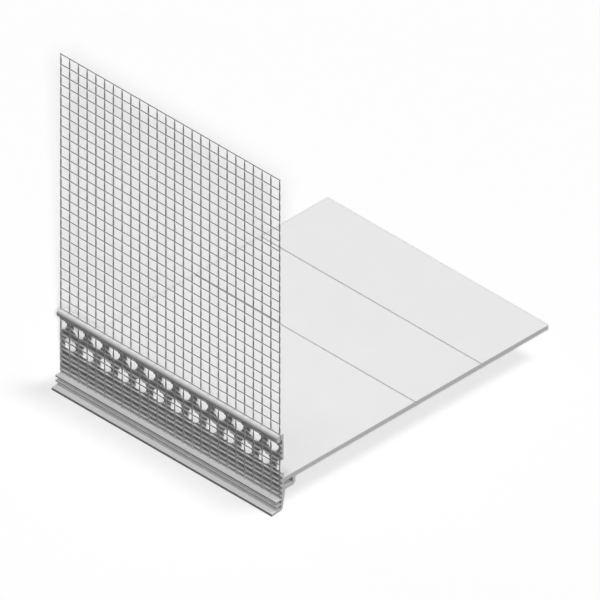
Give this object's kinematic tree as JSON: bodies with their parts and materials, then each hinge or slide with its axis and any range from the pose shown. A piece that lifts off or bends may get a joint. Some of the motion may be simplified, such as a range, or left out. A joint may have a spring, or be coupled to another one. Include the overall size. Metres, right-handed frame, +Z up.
{
  "type": "base starter profile",
  "caption": "Plastic base starter profile for a rendered facade: flat scored plate, ribbed and perforated leg, drip lip, jointing chamber and a strip of reinforcing mesh welded to the leg.",
  "frame": {"origin": "below the middle of the part's box, level with the lowest edge of the drip lip", "axes": "+X along the profile, +Y from the front with its mesh and lip to the back edge of the plate, +Z up"},
  "size_m": [0.1, 0.1254, 0.1305],
  "materials": {
    "pvc": "rigid light grey PVC, extruded, satin",
    "glass_mesh": "woven glass-fibre mesh with an alkali-resistant coating, off-white"
  },
  "bodies": {
    "root": {"starter_profile": "pvc", "mesh_lower": "glass_mesh", "mesh_middle": "glass_mesh", "mesh_upper": "glass_mesh"}
  },
  "joints": []
}
